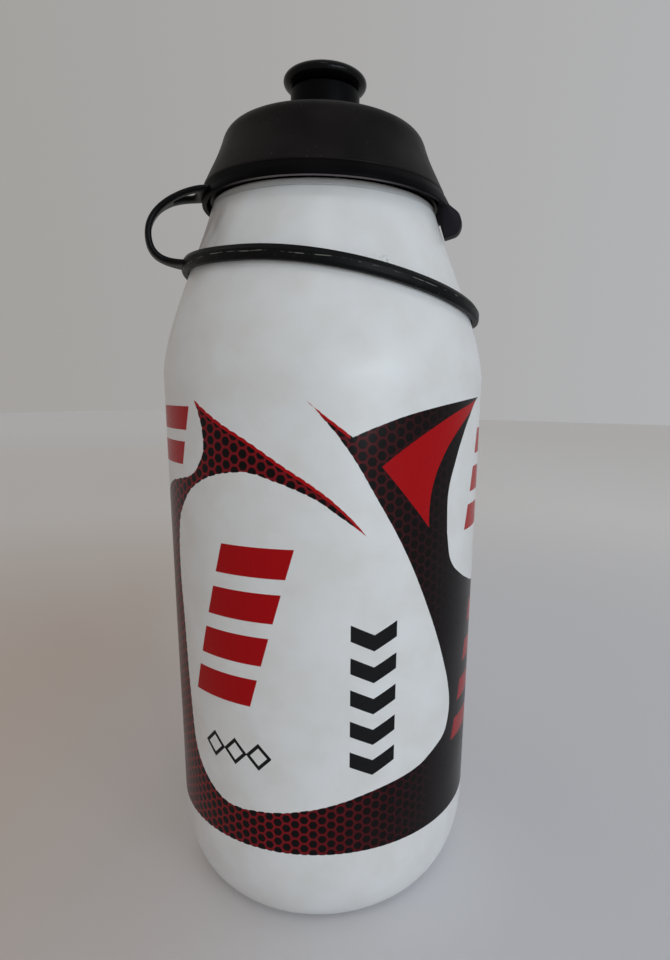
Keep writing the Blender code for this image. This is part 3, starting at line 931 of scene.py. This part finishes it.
def neck_ring_section(angle):
    low = neck_ring_middle(angle) - NECK_RING_HEIGHT / 2
    high = low + NECK_RING_HEIGHT
    inner = neck_ring_inner(angle)
    outer = inner + NECK_RING_THICK
    corners = [
        (inner, low, 0.2),
        (outer - 0.25, low, 0.3),
        (outer, low + 0.6, 0.3),
        (outer, high - 0.95, 0.12),
        (outer - 0.65, high - 0.05, 0.12),
        (inner + 0.3, high, 0.15),
        (inner, high - 0.5, 0.2),
    ]
    return rounded(corners)


def make_neck_ring(material):
    edit = bmesh.new()
    sweep(edit, neck_ring_section, even_angles(SEGMENTS), closed=True)
    return add_piece("neck_ring_moulding", edit, material, sharp=50.0)


def strap_line():
    """The strap's centre line in (r, z), from the cap ring out, down and back to the neck ring."""
    start = (CAP_RING_LOW_R - 1.7, CAP_RING_Z[0] + 1.65)
    end = (neck_ring_inner(STRAP_AZIMUTH) + NECK_RING_THICK - 0.8, neck_ring_middle(STRAP_AZIMUTH) - 0.1)
    belly_r, belly_z = STRAP_BELLY
    half = STRAP_STEPS // 2
    upper = bezier(start, (33.0, start[1] - 0.4), (belly_r + 0.1, belly_z + 5.0), STRAP_BELLY, half)
    lower = bezier(STRAP_BELLY, (belly_r - 0.1, belly_z - 4.0), (36.6, end[1] + 0.2), end, half)
    return upper + lower[1:]


def strap_edges(step):
    """Where the strap's edges and its window's are, in mm across, at a step along it."""
    at_cap = smooth_step(1 - step / (STRAP_STEPS * 0.36))
    at_neck = (1 - min((STRAP_STEPS - step) / (STRAP_STEPS * 0.2), 1)) ** 2
    width = STRAP_WIDTH + (STRAP_ROOT_WIDTH - STRAP_WIDTH) * at_cap
    width += (STRAP_FOOT_WIDTH - STRAP_WIDTH) * at_neck
    beside_window = STRAP_WINDOW.start <= step <= STRAP_WINDOW.stop
    window = 2.6 - step * 0.36 if beside_window else 0.5
    return -width / 2, -window, window, width / 2


def make_strap(material):
    """A flat band, forked round a small window where it widens into the cap ring."""
    edit = bmesh.new()
    rows = []
    for step, (r, z) in enumerate(strap_line()):
        angles = [STRAP_AZIMUTH + math.degrees(offset / r) for offset in strap_edges(step)]
        rows.append([edit.verts.new(ring_point(r, angle, z) * MM) for angle in angles])
    for step in range(STRAP_STEPS):
        row, following = rows[step], rows[step + 1]
        for k in (0, 2) if step in STRAP_WINDOW else (0, 1, 2):
            edit.faces.new((row[k], row[k + 1], following[k + 1], following[k]))
    strap = add_piece("strap_moulding", edit, material)
    shell = strap.modifiers.new("thickness", "SOLIDIFY")
    shell.thickness = STRAP_THICK * MM
    shell.offset = 0.0
    rounding = strap.modifiers.new("rounding", "SUBSURF")
    rounding.levels = rounding.render_levels = 2
    apply_modifiers(strap)
    return strap


def apply_modifiers(piece):
    graph = bpy.context.evaluated_depsgraph_get()
    mesh = bpy.data.meshes.new_from_object(piece.evaluated_get(graph))
    piece.modifiers.clear()
    piece.data = mesh
    mesh.shade_smooth()


# ---------------------------------------------------------------- stage

CAMERA_F = 639.5
CAMERA_AT = (11.6, -157.2, 120.0)
CAMERA_PITCH = 11.18
CAMERA_ROLL = -0.79
CAMERA_SHIFT = (-0.0383, 0.0417)
SENSOR = 36.0
FRAME_HEIGHT = 960
# Name, azimuth from the front, elevation, distance and size in metres, watts, tint.
SOFTBOXES = (
    ("key", 44, 13, 1.4, (0.6, 0.36), 0.51, (0.81, 0.93, 1.0)),
    ("window", 24, 12, 1.6, (0.10, 0.3), 0.17, (0.88, 0.95, 1.0)),
    ("low_fill", 30, 3, 1.5, (0.3, 0.1), 0.16, (0.76, 0.91, 1.0)),
    ("ceiling", 0, 55, 1.2, (0.25, 0.25), 0.07, (1.0, 0.95, 0.9)),
)
SOFTBOX_SPREAD = 60.0


def add_camera():
    """The camera stands just below the height of the shoulder's foot, pitched down and rolled."""
    swing = Matrix.Rotation(math.radians(FRONT + 90.0), 3, "Z")
    pitch, roll = math.radians(CAMERA_PITCH), math.radians(CAMERA_ROLL)
    forward = Vector((0.0, math.cos(pitch), -math.sin(pitch)))
    level = Vector((1.0, 0.0, 0.0))
    upright = level.cross(forward)
    right = level * math.cos(roll) - upright * math.sin(roll)
    up = level * math.sin(roll) + upright * math.cos(roll)
    data = bpy.data.cameras.new("camera")
    data.sensor_width = SENSOR
    data.lens = CAMERA_F * SENSOR / FRAME_HEIGHT
    data.shift_x, data.shift_y = CAMERA_SHIFT
    data.clip_start = 0.005
    camera = bpy.data.objects.new("camera", data)
    bpy.context.scene.collection.objects.link(camera)
    axes = Matrix((swing @ right, swing @ up, swing @ -forward)).transposed().to_4x4()
    camera.matrix_world = Matrix.Translation(swing @ Vector(CAMERA_AT) * MM) @ axes
    bpy.context.scene.camera = camera


def add_softbox(name, azimuth, elevation, distance, size, power, tint):
    """An area light with a grid on it, aimed at the middle of the bottle."""
    data = bpy.data.lights.new(name, "AREA")
    data.shape = "RECTANGLE"
    data.spread = math.radians(SOFTBOX_SPREAD)
    data.size, data.size_y = size
    data.energy = power
    data.color = tint
    lamp = bpy.data.objects.new(name, data)
    bpy.context.scene.collection.objects.link(lamp)
    aim = Vector((0.0, 0.0, 0.09))
    flat = math.cos(math.radians(elevation)) * distance
    turn = math.radians(FRONT + azimuth)
    rise = math.sin(math.radians(elevation)) * distance
    lamp.location = aim + Vector((flat * math.cos(turn), flat * math.sin(turn), rise))
    lamp.rotation_euler = (lamp.location - aim).to_track_quat("Z", "Y").to_euler()


def to_the_right(x, y):
    """How far to the camera's right a direction or a place goes, as a field."""
    turn = math.radians(FRONT + 90.0)
    return x * math.cos(turn) + y * math.sin(turn)


def add_floor():
    """A pale floor with painted light and shade: warmer and a little darker on the left and near the
    bottle, paler and cooler on the right and further out.
    """
    edit = bmesh.new()
    bmesh.ops.create_grid(edit, x_segments=8, y_segments=8, size=3.0)
    look = Look("floor_paint", 0.6, specular=0.3)
    across = to_the_right(look.x, look.y) + (look.noise(60.0, 4.0) - 0.5) * 30.0
    away = (look.x * look.x + look.y * look.y).root()
    # Painted shade on the left, away from the lamps, and painted cool light on the right, where they
    # shine.
    near = look.mix(across.ramp(-140.0, 60.0), look.colour(213, 198, 187), look.colour(227, 228, 233))
    middle = look.mix(across.ramp(-300.0, 300.0), look.colour(239, 234, 229), look.colour(255, 255, 255))
    painted_floor_light = look.mix(away.ramp(120.0, 600.0), near, middle)
    look.set("Base Color", look.mix(away.ramp(500.0, 2200.0), painted_floor_light, look.colour(250, 249, 248)))
    look.bump((look.noise(1.5, 3.0), 0.02))
    floor = add_piece("floor", edit, look.material)


def add_surround():
    """A pale surround, a little warmer on the left."""
    world = bpy.data.worlds.new("surround")
    bpy.context.scene.world = world
    world.use_nodes = True
    space = world.node_tree
    split = space.nodes.new("ShaderNodeSeparateXYZ")
    space.links.new(space.nodes.new("ShaderNodeTexCoord").outputs["Generated"], split.inputs[0])
    rightward = to_the_right(Field(space, split.outputs["X"]), Field(space, split.outputs["Y"]))
    warm, cool = display_colour(space, 163, 160, 157), display_colour(space, 179, 180, 182)
    surround = mix_colours(space, rightward.ramp(-0.7, 0.7), warm, cool)
    space.links.new(surround, space.nodes["Background"].inputs["Color"])


# ---------------------------------------------------------------- assembly

add_camera()
add_floor()
add_surround()
for softbox in SOFTBOXES:
    add_softbox(*softbox)
bpy.context.scene.view_settings.view_transform = "Standard"

printed = printed_look()
cap_plastic = moulded_look("cap_plastic", (17, 14, 14), (27, 24, 24), 0.42, 0.4, 0.02, 0.2, 0.07)
nozzle_plastic = moulded_look("nozzle_plastic", (5, 5, 6), (9, 9, 11), 0.38, 0.5, 0.004, 0.0, 0.045)
lip_rubber = moulded_look("lip_rubber", (6, 6, 7), (10, 10, 11), 0.22, 0.6, 0.004, 0.2, 0.12)
ring_rubber = cap_ring_look()
tether_rubber = scratched_rubber()
gasket_rubber = moulded_look("gasket_rubber", (150, 150, 148), (168, 168, 165), 0.6, 0.5, 0.01)

PIECES = (
    (make_bottle(printed), "bottle_body", "bottle", "printed_body"),
    (make_cap(cap_plastic), "screw_cap", "cap", "cap"),
    (make_gasket(gasket_rubber), "cap_gasket", "gasket", "gasket"),
    (make_sleeve(nozzle_plastic), "nozzle_sleeve", "nozzle", "nozzle"),
    (make_lip(lip_rubber), "mouthpiece", "nozzle", "mouthpiece"),
    (make_cap_ring(ring_rubber), "tether_cap_ring", "cap_ring", "tether"),
    (make_neck_ring(tether_rubber), "tether_neck_ring", "neck_ring", "tether"),
)
for piece, node, body, slot in PIECES:
    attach(piece, body)
    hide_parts(node)

strap = make_strap(tether_rubber)
strap_low = ring_point(STRAP_BLEND_R, STRAP_AZIMUTH, low_z("tether_strap") + STRAP_HELD) * MM
strap_high = ring_point(STRAP_BLEND_R, STRAP_AZIMUTH, high_z("tether_strap") - STRAP_HELD) * MM
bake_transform(strap)
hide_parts("tether_strap")

valve_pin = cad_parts["valve_pin"]
for material_slot in valve_pin.material_slots:
    material_slot.material = nozzle_plastic
